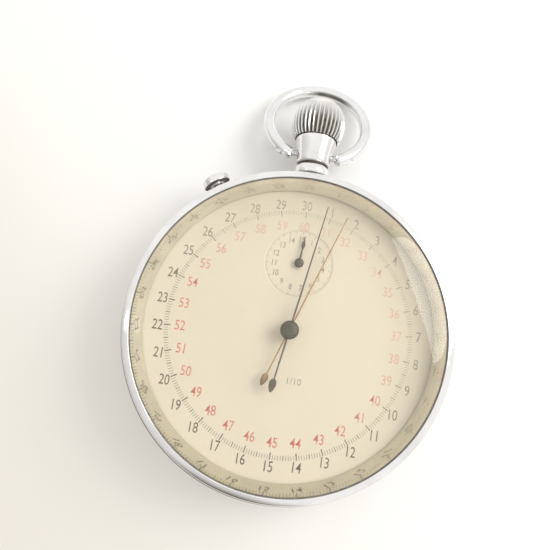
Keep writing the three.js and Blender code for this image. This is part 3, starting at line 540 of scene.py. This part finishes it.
def bezel():
    """Deep bezel: polished inner slope, crystal groove, thin lip, flat bevel and plain side."""
    low = BEZEL_LOW.z
    top = BEZEL_HIGH.z
    lip = BEZEL_LIP_R
    profile = [(BEZEL_FOOT_R, low + 0.03), (BEZEL_FOOT_R + 0.04, low), (26.2, low)]
    profile += [(26.25, low + 0.05)]
    profile += bezier(profile[-1], (26.1, 11.6), (25.75, 12.9), (25.64, 13.4), 8)
    profile += bezier(profile[-1], (25.6, 13.64), (25.52, 13.74), (25.4, 13.79), 8)
    profile += bezier(profile[-1], (25.15, 13.87), (24.9, 13.93), (24.7, top - 0.03), 6)
    profile += bezier(profile[-1], (24.62, top), (24.56, top), (24.5, top), 3)
    profile += [(lip, top - 0.08), (lip, GROOVE_HIGH_Z), (GROOVE_R, GROOVE_HIGH_Z)]
    profile += [(GROOVE_R, GROOVE_LOW_Z), (SLOPE_TOP_R, GROOVE_LOW_Z)]
    profile += [(SLOPE_TOP_R - 0.03, GROOVE_LOW_Z - 0.05)]
    verts, faces = revolve(profile, ROUND, closed=True)
    obj = mesh_object("bezel_fine", verts, faces, CHROME)

    # Painted shadow: a dark line on the lip's inner face, in the narrow gap where the crystal's
    # edge meets it.
    def lip_dirt(point):
        inside = math.hypot(point.x, point.y) < lip + 0.05
        return 1.0 if inside and point.z > GROOVE_LOW_Z - 0.02 else 0.0

    def on_slope(point):
        return math.hypot(point.x, point.y) < SLOPE_TOP_R and low + 0.02 < point.z < GROOVE_LOW_Z

    paint_grime(obj, lip_dirt)
    return second_material(obj, SLOPE_NICKEL, on_slope)


def crystal():
    """Low acrylic dome with a rounded shoulder and a thin rim in the bezel's groove."""
    top = CRYSTAL_HIGH.z
    foot = CRYSTAL_LOW.z
    edge = BEZEL_LIP_R - 0.05
    outer_drop = 1.4 / 22.0**2
    inner_drop = 1.1 / 22.0**2
    outer_dome = [(r, top - r * r * outer_drop) for r in range(0, 23)]
    profile = [(r, top - 1.05 - r * r * inner_drop) for r in range(0, 23)]
    profile += [(23.95, foot + 0.02), (24.58, foot), (24.6, foot + 0.2), (edge, foot + 0.22)]
    profile += [(edge, foot + 0.38)]
    profile += bezier(profile[-1], (edge, 14.12), (23.9, 14.25), outer_dome[-1], 10)
    profile += outer_dome[-2::-1]
    verts, faces = revolve(profile, ROUND)
    return mesh_object("crystal_fine", verts, faces, CRYSTAL, sharp=40)


def back_cover():
    """Snap-on cover: the flat that the watch rests on, a rounded rise and a rim inside the band."""
    profile = [(0, 0), (19, 0)]
    profile += bezier((19, 0), (21.5, 0.0), (23.6, 0.45), (24.7, 1.25), 12)
    profile += bezier(profile[-1], (25.1, 1.55), (25.25, 1.9), (25.25, 2.2), 5)
    profile += [(25.2, 2.25), (22.95, 2.25), (22.95, 3.35), (22.9, 3.4), (22.4, 3.4)]
    profile += [(22.4, 1.5), (19, 0.75), (0, 0.75)]
    verts, faces = revolve(profile, ROUND)
    return mesh_object("back_cover_fine", verts, faces, CHROME)


def pendant():
    """Neck on the case: foot, rounded bead, groove and a flared neck with a rounded rim."""
    bore = 2.0
    profile = [(bore, 23.2), (NECK_TUBE_R, 23.2), (NECK_TUBE_R, 27.1), (2.9, 27.1)]
    profile += bezier((2.9, 27.1), (3.22, 27.35), (3.22, 28.5), (2.95, 28.8), 8)
    profile += bezier(profile[-1], (2.6, 28.85), (2.52, 28.95), (2.52, 29.15), 4)
    profile += [(2.55, 29.3)]
    profile += bezier(profile[-1], (2.85, 29.4), (3.0, 29.7), (3.02, 30.1), 5)
    profile += bezier(profile[-1], (3.08, 31.4), (3.38, 32.4), (3.58, 33.7), 10)
    profile += bezier(profile[-1], (3.62, 34.3), (3.5, 34.5), (2.9, 34.5), 6)
    profile += [(bore, 34.5)]
    verts, faces = revolve(profile, ROUND_SMALL, closed=True)
    obj = mesh_object("pendant_fine", verts, faces, CHROME)

    def neck_dirt(point):
        """Old soiling and painted shade in the groove round the neck and where the foot meets the
        case.
        """
        radius = math.hypot(point.x, point.y)
        groove = fade(2.95 - radius, 0.05, 0.3)
        foot = 1 - fade(point.z, 27.2, 27.45)
        return max(groove, foot) if point.z < 29.6 else 0.0

    paint_grime(obj, neck_dirt)
    bake_place(obj, outward(0))
    holes = []
    for side in (-1, 1):
        hole = rod((0, 0, 0), BOW_PIN_R + HOLE_GAP, 0, 4, 24)
        turn = Matrix.Rotation(side * math.pi / 2, 4, "Y")
        place = Matrix.Translation(Vector((side * 1.5, BOW_PIVOT_Y, STEM_Z)) * MM)
        bake_place(hole, place @ turn)
        holes.append(hole)
    cut_away(obj, *holes)
    return obj


# ------------------------------------------------------------------ crown, button and bow
def flute_wave(angle):
    """1 in the bottom of a flute, 0 on the narrow ridge between two."""
    return 1 - abs(math.sin(CROWN_FLUTES * angle / 2)) ** 3


def crown():
    """Onion crown: deep rounded flutes that fade into a small flat top."""
    per_flute = 8
    base = CROWN_LOW.y
    top = CROWN_HIGH.y
    wide = CROWN_HIGH.x
    inside = [(0, 40.0), (1.0, 40.0), (1.0, 36.0), (3.7, 36.0), (3.7, base + 0.05)]
    skin = [(3.75, base), (3.95, base)]
    skin += bezier(skin[-1], (4.4, base + 0.6), (wide, 35.6), (wide, 37.1), 12)
    skin += bezier(skin[-1], (wide, 39.2), (3.7, 40.9), (1.5, top - 0.12), 16)
    skin += bezier(skin[-1], (1.2, top), (0.9, top), (0.8, top), 3)
    skin += [(0, top)]
    profile = inside + skin
    flute_start = len(inside) + 1
    flute_end = len(profile) - 4
    segments = CROWN_FLUTES * per_flute
    verts, faces = revolve(profile, segments)
    count = len(profile)
    shaped = []
    for i, (x, y, z) in enumerate(verts):
        k = i % count
        angle = TAU * (i // count) / segments
        if flute_start <= k <= flute_end:
            along = (k - flute_start) / (flute_end - flute_start)
            depth = 0.4 * (1 - along**3)
            radius = math.hypot(x, y)
            scale = (radius - depth * flute_wave(angle)) / radius
            x, y = x * scale, y * scale
        shaped.append((x, y, z))
    obj = mesh_object("crown_fine", shaped, faces, CROWN_CHROME, sharp=50)

    # Painted shade: dark in the bottoms of the flutes, fading out up the crown.
    def flute_dirt(point):
        deep = flute_wave(math.atan2(point.y, point.x))
        return fade(deep, 0.2, 0.8) * (1 - fade(point.z, 36.6, 39.4))

    paint_grime(obj, flute_dirt)
    return bake_place(obj, outward(0))


def split_button():
    """Round push-piece with a softened edge, on its stem."""
    radius = 2.35
    under = 28.15
    top = 29.55
    profile = [(0, 22.35), (0.6, 22.35), (0.6, 23.75), (0.9, 23.75), (0.9, under)]
    profile += [(1.4, under), (radius - 0.2, under)]
    profile += bezier(profile[-1], (radius - 0.05, under), (radius, under + 0.05),
                      (radius, under + 0.2), 5)
    profile += [(radius, top - 0.55)]
    profile += bezier(profile[-1], (radius, top - 0.2), (radius - 0.2, top - 0.08),
                      (radius - 0.6, top - 0.04), 6)
    profile += [(radius - 1.2, top), (0, top)]
    verts, faces = revolve(profile, ROUND_SMALL)
    obj = mesh_object("split_button_fine", verts, faces, CHROME)

    # Painted shade on the underside of the button.
    def underside_dirt(point):
        return 0.95 if point.z < under + 0.06 and math.hypot(point.x, point.y) > 1.2 else 0.0

    paint_grime(obj, underside_dirt)
    return bake_place(obj, outward(BUTTON_TURN))


def button_tube():
    """Tube in the case wall that guides the push-piece."""
    bore = 0.96
    inner_end = 23.25
    outer_end = 27.05
    profile = rounded([(bore, inner_end), (BUTTON_TUBE_R, inner_end), (BUTTON_TUBE_R, outer_end),
                       (bore, outer_end)], 0.12, closed=True)
    verts, faces = revolve(profile, ROUND_SMALL, closed=True)
    obj = mesh_object("button_tube_fine", verts, faces, CHROME)
    return bake_place(obj, outward(BUTTON_TURN))


def bow():
    """Round wire bent to a ring, open at the neck, with softly rounded ends."""
    centre_y = BOW_REACH - BOW_RING_R
    overrun = 0.09
    steps = 150
    around = 36
    end_angle = math.atan2(-centre_y, BOW_END_X)
    sweep = TAU - 2 * (math.pi / 2 + end_angle) + 2 * overrun
    cap = BOW_WIRE_R / BOW_RING_R * 0.35
    verts = []
    for i in range(steps + 1):
        t = i / steps
        angle = end_angle - overrun + t * sweep
        from_end = min(t, 1 - t) * sweep
        share = min(1.0, from_end / cap)
        wire = BOW_WIRE_R * (0.72 + 0.28 * math.sqrt(1 - (1 - share) ** 2))
        for k in range(around):
            turn = TAU * k / around
            radius = BOW_RING_R + wire * math.cos(turn)
            verts.append((radius * math.cos(angle), centre_y + radius * math.sin(angle),
                          wire * math.sin(turn)))
    faces = []
    for i in range(steps):
        for k in range(around):
            n = (k + 1) % around
            faces.append((i * around + k, i * around + n, (i + 1) * around + n,
                          (i + 1) * around + k))
    faces.append(tuple(range(around)))
    last = steps * around
    faces.append(tuple(last + k for k in reversed(range(around))))
    obj = mesh_object("bow_fine", verts, faces, BOW_CHROME)

    def tarnish(point):
        """Painted dark reflection: a streak on the inner face of the far side, towards the right.
        """
        across = point.x
        inward = BOW_RING_R - math.hypot(across, point.y - centre_y)
        turn = math.atan2(across, point.y - centre_y)
        along = fade(turn, -0.4, -0.05) * (1 - fade(turn, 0.55, 0.85))
        face = math.degrees(math.atan2(inward, point.z))
        return 0.9 * along * fade(face, 40, 56) * (1 - fade(face, 82, 96))

    paint_grime(obj, tarnish)
    pin_hole = rod((0, 0, 0), BOW_PIN_R + HOLE_GAP, -8, 8, 24)
    bake_place(pin_hole, Matrix.Rotation(math.pi / 2, 4, "Y"))
    cut_away(obj, pin_hole)
    place = Matrix.Translation(Vector((0, BOW_PIVOT_Y, STEM_Z)) * MM)
    return bake_place(obj, place @ Matrix.Rotation(-BOW_DROOP, 4, "X"))


def bow_pin(side):
    """Pin that the bow swings on, with a rounded outer end."""
    profile = [(0, 2.1), (BOW_PIN_R, 2.1), (BOW_PIN_R, 5.3)]
    profile += bezier(profile[-1], (BOW_PIN_R, 5.45), (0.35, 5.5), (0.0, 5.5), 5)
    verts, faces = revolve(profile, 32)
    name = "bow_pin_left" if side < 0 else "bow_pin_right"
    obj = mesh_object(name, verts, faces, STEEL)
    turn = Matrix.Rotation(side * math.pi / 2, 4, "Y")
    place = Matrix.Translation(Vector((0, BOW_PIVOT_Y, STEM_Z)) * MM)
    return bake_place(obj, place @ turn)


# ------------------------------------------------------------------ dial and printing
def dial():
    """Flat dial with a sunk register and holes for the two sets of hands."""
    low = DIAL_Z - 0.4
    profile = [(0, low), (DIAL_R, low)]
    profile += [(DIAL_R, DIAL_Z - 0.05), (DIAL_R - 0.05, DIAL_Z), (0, DIAL_Z)]
    verts, faces = revolve(profile, ROUND)
    obj = mesh_object("dial_fine", verts, faces, DIAL)
    slope = [(0, 0), (REGISTER_R - 0.12, 0), (REGISTER_R, REGISTER_SINK), (REGISTER_R, 1), (0, 1)]
    verts, faces = revolve(slope, 96)
    sink = mesh_object("cutter", verts, faces, DIAL)
    sink_place = Vector((0, REGISTER_Y, DIAL_Z - REGISTER_SINK)) * MM
    bake_place(sink, Matrix.Translation(sink_place))
    centre_hole = rod((0, 0, 0), 0.75, 9, 11)
    register_hole = rod((0, REGISTER_Y, 0), 0.45, 9, 11)
    cut_away(obj, sink, centre_hole, register_hole)
    return obj


def lettering(text, height, width_scale, weight):
    """A generic number as a thin closed mesh, centred on its own middle, in millimetres."""
    curve = bpy.data.curves.new("number", "FONT")
    curve.body = text
    curve.align_x = "CENTER"
    curve.align_y = "CENTER"
    curve.size = 1.0
    curve.offset = weight
    curve.extrude = 0.5
    curve.resolution_u = 4
    obj = link(bpy.data.objects.new("number", curve))
    bpy.context.view_layer.update()
    evaluated = obj.evaluated_get(bpy.context.evaluated_depsgraph_get())
    mesh = bpy.data.meshes.new_from_object(evaluated)
    bpy.data.objects.remove(obj)
    bpy.data.curves.remove(curve)
    xs = [v.co.x for v in mesh.vertices]
    ys = [v.co.y for v in mesh.vertices]
    middle = Vector(((min(xs) + max(xs)) / 2, (min(ys) + max(ys)) / 2, 0))
    scale = height / (max(ys) - min(ys))
    points = [
        ((v.co.x - middle.x) * scale * width_scale, (v.co.y - middle.y) * scale, v.co.z + 0.5)
        for v in mesh.vertices
    ]
    shapes = [tuple(p.vertices) for p in mesh.polygons]
    bpy.data.meshes.remove(mesh)
    return points, shapes


class Print:
    """Collects printed marks that share one ink and one piece."""

    def __init__(self, floor):
        self.verts = []
        self.faces = []
        self.floor = floor

    def number(self, text, centre, height, width_scale=0.82, weight=0.0):
        """Upright figures, centred on a point."""
        points, shapes = lettering(text, height, width_scale, weight)
        first = len(self.verts)
        for x, y, z in points:
            self.verts.append((centre[0] + x, centre[1] + y, self.floor + z * INK_THICK))
        self.faces += [tuple(first + i for i in shape) for shape in shapes]

    def stroke(self, start, end, width):
        """A straight printed line as a thin box."""
        along = (Vector(end) - Vector(start)).normalized()
        across = Vector((-along.y, along.x)) * (width / 2)
        corners = [Vector(start) - across, Vector(end) - across, Vector(end) + across,
                   Vector(start) + across]
        first = len(self.verts)
        for lift in (0, INK_THICK):
            self.verts += [(c.x, c.y, self.floor + lift) for c in corners]
        quads = [(3, 2, 1, 0), (4, 5, 6, 7), (0, 1, 5, 4), (1, 2, 6, 5), (2, 3, 7, 6),
                 (3, 0, 4, 7)]
        self.faces += [tuple(first + i for i in quad) for quad in quads]

    def circle(self, centre, radius, width, segments=180):
        """A thin printed ring."""
        first = len(self.verts)
        for i in range(segments):
            angle = TAU * i / segments
            for edge, lift in ((-1, 0), (1, 0), (1, INK_THICK), (-1, INK_THICK)):
                r = radius + edge * width / 2
                self.verts.append((centre[0] + r * math.cos(angle),
                                   centre[1] + r * math.sin(angle), self.floor + lift))
        for i in range(segments):
            here = first + 4 * i
            there = first + 4 * ((i + 1) % segments)
            for k in range(4):
                n = (k + 1) % 4
                self.faces.append((here + k, there + k, there + n, here + n))

    def piece(self, name, material):
        return mesh_object(name, self.verts, self.faces, material, sharp=20)


def clock_point(radius, share, centre=(0, 0)):
    """The point at a share of a turn clockwise from 12."""
    angle = math.pi / 2 - TAU * share
    return (centre[0] + radius * math.cos(angle), centre[1] + radius * math.sin(angle))


def seconds_printing():
    """Black numerals, tenths track and red numerals."""
    floor = DIAL_Z - INK_SUNK
    black = Print(floor)
    track = Print(floor)
    red = Print(floor)
    for second in range(1, 31):
        share = second / 30
        black.number(str(second), clock_point(NUMERAL_R, share), 1.6, 0.76, 0.004)
        red.number(str(second + 30), clock_point(RED_NUMERAL_R, share), 1.55, 0.8, 0.004)
    for tenth in range(300):
        share = tenth / 300
        if tenth % 10 == 0:
            inner, width = 18.65, 0.2
        elif tenth % 5 == 0:
            inner, width = 18.95, 0.13
        else:
            inner, width = 19.0, 0.075
        track.stroke(clock_point(inner, share), clock_point(TICK_OUTER_R, share), width)
    return (black.piece("seconds_printing", BLACK_INK), track.piece("track_printing", TRACK_INK),
            red.piece("red_printing", RED_INK))


def register_printing():
    """The minute register's numbers, strokes and ring."""
    floor = DIAL_Z - REGISTER_SINK - INK_SUNK
    centre = (0, REGISTER_Y)
    marks = Print(floor)
    for minute in range(1, 16):
        share = minute / 15
        marks.number(str(minute), clock_point(4.0, share, centre), 0.98, 0.8, 0.01)
    for half in range(30):
        share = half / 30
        inner = 4.85 if half % 2 == 0 else 5.05
        marks.stroke(clock_point(inner, share, centre), clock_point(5.35, share, centre), 0.06)
    marks.circle(centre, 5.35, 0.04, 120)
    return marks.piece("register_printing", BLACK_INK)


def scale_note():
    """A small generic note of the scale's division, under the hands."""
    marks = Print(DIAL_Z - INK_SUNK)
    marks.number("1/10", (2.0, -7.65), 1.0, width_scale=1.0)
    return marks.piece("scale_note", GREY_INK)


# ------------------------------------------------------------------ hands
def strip(points, low, high):
    """A thin plate from a closed outline, as one closed mesh."""
    count = len(points)
    verts = [(x, y, low) for x, y in points] + [(x, y, high) for x, y in points]
    faces = [tuple(reversed(range(count))), tuple(range(count, 2 * count))]
    for i in range(count):
        n = (i + 1) % count
        faces.append((i, n, count + n, count + i))
    return verts, faces


def hand_blade(tip, tail, leaf_length, leaf_width, root_width):
    """Outline of a thin tapered hand with a leaf at its tail, pointing to +Y."""
    leaf_start = -(tail - leaf_length)
    right = [(0.075, tip - 0.1), (0.11, tip * 0.6), (root_width / 2, 1.0),
             (root_width / 2, -1.0), (0.11, leaf_start)]
    for i in range(1, 12):
        t = i / 12
        bulge = math.sin(math.pi * t ** 0.72) ** 0.8
        width = 0.11 * (1 - t) + 0.12 * t + (leaf_width / 2 - 0.11) * bulge
        right.append((width, leaf_start - t * leaf_length))
    right.append((0.12, -tail))
    left = [(-x, y) for x, y in reversed(right)]
    return [(0, tip)] + right + left


def hand(name, material, hub_profile, blade, low, high, clockwise, centre=(0, 0),
         hub_dirt=0.9, leaf_dirt=0.7):
    """A hand: a turned hub and a flat blade, turned clockwise from 12."""
    hub_verts, hub_faces = revolve(hub_profile, ROUND_SMALL, closed=True)
    blade_verts, blade_faces = strip(blade, low, high)
    shift = len(hub_verts)
    verts = hub_verts + blade_verts
    faces = hub_faces + [tuple(shift + i for i in face) for face in blade_faces]
    obj = mesh_object(name, verts, faces, material)
    hub_r = max(radius for radius, _ in hub_profile)

    def dirt(point):
        """Dirtiest on the hub and on the leaf of the tail."""
        if math.hypot(point.x, point.y) < hub_r + 0.01:
            return hub_dirt
        return leaf_dirt if abs(point.x) > 0.115 and point.y < -1.5 else 0.0

    paint_grime(obj, dirt)
    place = Matrix.Translation(Vector((*centre, 0)) * MM)
    return bake_place(obj, place @ Matrix.Rotation(-math.radians(clockwise), 4, "Z"))


def hub(bore, radius, low, high, dome):
    """Profile of a domed hub with a bore."""
    profile = [(bore, low), (radius - 0.08, low), (radius, low + 0.08), (radius, high - dome)]
    profile += bezier(profile[-1], (radius, high - 0.3 * dome), (radius * 0.7, high),
                      (bore + 0.12, high), 8)
    profile += [(bore, high - 0.02)]
    return profile


def sweep_hand():
    """The lower long hand."""
    blade = hand_blade(20.6, 9.4, 1.95, 1.05, 0.28)
    return hand("sweep_hand_fine", GILT_HAND, hub(0.65, 1.3, 11.6, 12.3, 0.25), blade,
                11.87, 11.97, 19.0)


def split_hand():
    """The upper long hand; its hub is a cap, closed over the end of its arbor."""
    blade = hand_blade(20.7, 9.8, 2.1, 1.1, 0.30)
    cap = hub(0.34, 1.45, 12.4, 13.5, 0.6)[:-1] + [(0, 13.5), (0, 13.36), (0.34, 13.36)]
    return hand("split_hand_fine", DARK_HAND, cap, blade, 12.72, 12.83, 9.0)


def minute_hand():
    """Short leaf hand of the register; its hub is a closed cap too."""
    right = [(0.05, 4.45), (0.14, 3.7), (0.30, 3.1), (0.26, 2.75), (0.10, 2.3), (0.16, 0.5),
             (0.16, -0.5)]
    blade = [(0, 4.5)] + right + [(-x, y) for x, y in reversed(right)]
    cap = hub(0.28, 0.75, 10.7, 11.35, 0.3)[:-1] + [(0, 11.35), (0, 11.31), (0.28, 11.31)]
    return hand("minute_hand_fine", DARK_HAND, cap, blade,
                10.92, 11.02, 5.0, (0, REGISTER_Y), hub_dirt=0.6)


# ------------------------------------------------------------------ floor, lights and camera
SENSOR = 36
LENS_PER_SENSOR = 10 / 11
CAMERA_HEIGHT = 79.978      # above the dial
CAMERA_TILT = (9.32, -1.73, 8.88)


def floor():
    """Pale table, with painted shade making it darker and warmer towards the lower left, most near
    the watch.
    """
    size = 5000
    verts = [(-size, -size, 0), (size, -size, 0), (size, size, 0), (-size, size, 0)]
    material, tree, shader = new_material("pale_paper")
    # Painted shade: the table's colour darkens and warms towards the lower left, most strongly
    # within 60 to 150 mm of the middle.
    across = sector(tree, 47, -58, 23)
    shaded_near = ramp(tree, across, [(0.0, (0.78, 0.745, 0.68)), (0.5, (0.90, 0.88, 0.84)),
                               (1.0, (0.94, 0.935, 0.915))])
    far = ramp(tree, across, [(0.0, (0.90, 0.89, 0.865)), (1.0, (0.94, 0.935, 0.92))])
    distance = spread(tree, from_middle(tree), 60, 150)
    tree.links.new(blend_colours(tree, distance, shaded_near, far), shader.inputs["Base Color"])
    shader.inputs["Roughness"].default_value = 0.9
    obj = mesh_object("floor", verts, [(0, 1, 2, 3)], material)


def area_light(name, place, target, size, power, colour=(1, 1, 1)):
    """Rectangular lamp at a place in millimetres, facing a target."""
    data = bpy.data.lights.new(name, "AREA")
    data.shape = "RECTANGLE"
    data.size = size[0] * MM
    data.size_y = size[1] * MM
    data.energy = power
    data.color = colour
    obj = link(bpy.data.objects.new(name, data))
    location = Vector(place) * MM
    obj.location = location
    obj.rotation_euler = (Vector(target) * MM - location).to_track_quat("-Z", "Y").to_euler()


def studio_world():
    """Bright overcast studio: greyer at the horizon, with a dim patch low in the south."""
    world = bpy.data.worlds.new("studio")
    bpy.context.scene.world = world
    world.use_nodes = True
    tree = world.node_tree
    background = tree.nodes["Background"]
    background.inputs["Strength"].default_value = 1.02
    direction = add_node(tree, "ShaderNodeTexCoord").outputs["Generated"]
    split = add_node(tree, "ShaderNodeSeparateXYZ")
    tree.links.new(direction, split.inputs["Vector"])
    sky = ramp(tree, split.outputs["Z"], [
        (0.0, (0.88, 0.86, 0.85)), (0.16, (0.94, 0.93, 0.92)), (0.5, (1.0, 0.995, 0.98)),
    ])

    def darken(colour, towards, stops):
        """Multiplies the sky by a ramp over the angle to a direction."""
        dot = add_node(tree, "ShaderNodeVectorMath", operation="DOT_PRODUCT")
        dot.inputs[1].default_value = Vector(towards).normalized()
        tree.links.new(direction, dot.inputs[0])
        return multiply_colours(tree, colour, ramp(tree, dot.outputs["Value"], stops))

    west = darken(sky, (-0.85, -0.5, 0.05), [(0.45, grey(1.0)), (0.95, (0.62, 0.60, 0.60))])
    south = darken(west, (-0.15, -0.86, 0.49), [(0.90, grey(1.0)), (0.985, (0.18, 0.17, 0.14))])
    tree.links.new(south, background.inputs["Color"])


def lights():
    """The studio, a soft key from the upper right and a narrow strip from the left."""
    studio_world()
    area_light("key", (310, 150, 320), (0, 0, 0), (240, 240), 0.82, (1.0, 0.99, 0.97))
    area_light("side", (-250, -8, 312), (0, 0, 0), (25, 100), 0.014)


def camera():
    """Close camera, almost straight above the dial."""
    data = bpy.data.cameras.new("camera")
    data.sensor_width = SENSOR
    data.lens = SENSOR * LENS_PER_SENSOR
    data.clip_start = 0.001
    obj = link(bpy.data.objects.new("camera", data))
    obj.location = Vector((-3.892, -4.780, DIAL_Z + CAMERA_HEIGHT)) * MM
    obj.rotation_euler = Euler([math.radians(angle) for angle in CAMERA_TILT], "XYZ")
    bpy.context.scene.camera = obj


def place_pieces():
    """Builds every fine piece and hangs it on its body in place of its CAD node."""
    plan = [
        (case_band(), "case", "case_chrome", "case_band"),
        (bezel(), "case", "case_chrome", "bezel"),
        (crystal(), "case", "acrylic", "crystal"),
        (back_cover(), "case", "case_chrome", "back_cover"),
        (pendant(), "case", "case_chrome", "pendant"),
        (button_tube(), "case", "case_chrome", "button_tube"),
        (bow_pin(-1), "case", "steel", "bow_screw_left"),
        (bow_pin(1), "case", "steel", "bow_screw_right"),
        (crown(), "crown", "crown_chrome", "crown"),
        (split_button(), "split_button", "case_chrome", "split_button"),
        (bow(), "bow", "bow_chrome", "bow"),
        (dial(), "case", "dial_paint", "dial"),
        (sweep_hand(), "sweep", "gilt_hand", "sweep_hand"),
        (split_hand(), "split", "dark_hand", "split_hand"),
        (minute_hand(), "minute", "dark_hand", "minute_hand"),
    ]
    for piece, body, slot_name, node in plan:
        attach(piece, body)
        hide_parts(node)
    for piece in (*seconds_printing(), register_printing(), scale_note()):
        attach(piece, "case")


finish_cad_nodes()
place_pieces()
floor()
lights()
camera()
bpy.context.scene.view_settings.view_transform = "Standard"
